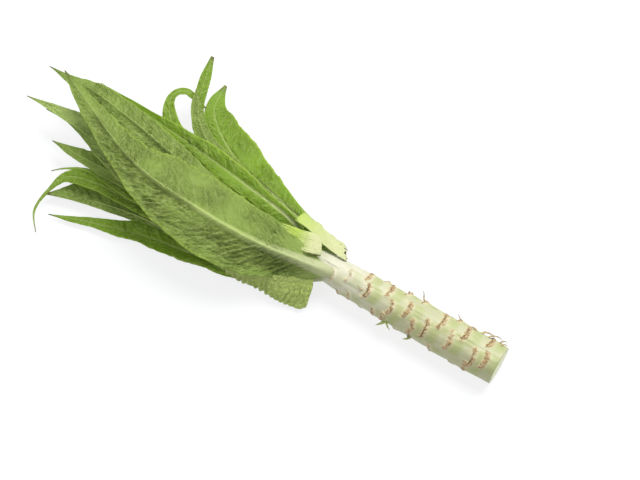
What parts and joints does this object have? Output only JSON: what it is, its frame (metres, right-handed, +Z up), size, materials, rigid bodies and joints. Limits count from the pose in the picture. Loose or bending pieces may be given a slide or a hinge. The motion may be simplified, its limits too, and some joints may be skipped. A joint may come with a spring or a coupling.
{
  "type": "celtuce",
  "caption": "Picked celtuce lying on its side: a thick bare stem with leaf scars and a plain cut end, and a crown of long pointed leaves spreading from its other end.",
  "frame": {"origin": "bottom centre of the whole piece's box, on the surface that it lies on", "axes": "+X along the stem towards its cut end, +Z up from the surface, +Y to the left when looking along +X"},
  "size_m": [0.5472, 0.245, 0.0706],
  "materials": {
    "leaf_outer_face": "satin green, puckered leaf with a pale midrib",
    "leaf_inner_face": "satin, smoother and more strongly green",
    "stem_skin": "satin, pale green skin with tan scars",
    "dry_leaf_base": "dry and matte"
  },
  "bodies": {
    "root": {"stem": "stem_skin", "leaf_flap": "stem_skin", "leaf_top": "leaf_outer_face", "leaf_top_back": "leaf_outer_face", "leaf_left_long": "leaf_outer_face", "leaf_left_broad": "leaf_outer_face", "leaf_left_narrow": "leaf_outer_face", "leaf_front_ribbed": "leaf_outer_face", "leaf_front_lobe": "leaf_outer_face", "leaf_back_looped": "leaf_outer_face", "leaf_back_upright": "leaf_outer_face", "leaf_left_curled": "leaf_inner_face", "leaf_left_drooping": "leaf_inner_face", "leaf_front_low": "leaf_inner_face", "leaf_front_under": "leaf_inner_face", "leaf_back_folded": "leaf_inner_face", "leaf_back_broad": "leaf_inner_face", "leaf_back_under": "leaf_inner_face", "leaf_stub_01": "dry_leaf_base", "leaf_stub_02": "dry_leaf_base", "leaf_stub_03": "dry_leaf_base", "leaf_stub_04": "dry_leaf_base", "leaf_stub_05": "dry_leaf_base", "leaf_stub_06": "dry_leaf_base", "leaf_stub_07": "dry_leaf_base", "leaf_stub_08": "dry_leaf_base", "leaf_stub_09": "dry_leaf_base", "leaf_stub_10": "dry_leaf_base", "leaf_stub_11": "dry_leaf_base", "leaf_stub_12": "dry_leaf_base"}
  },
  "joints": []
}
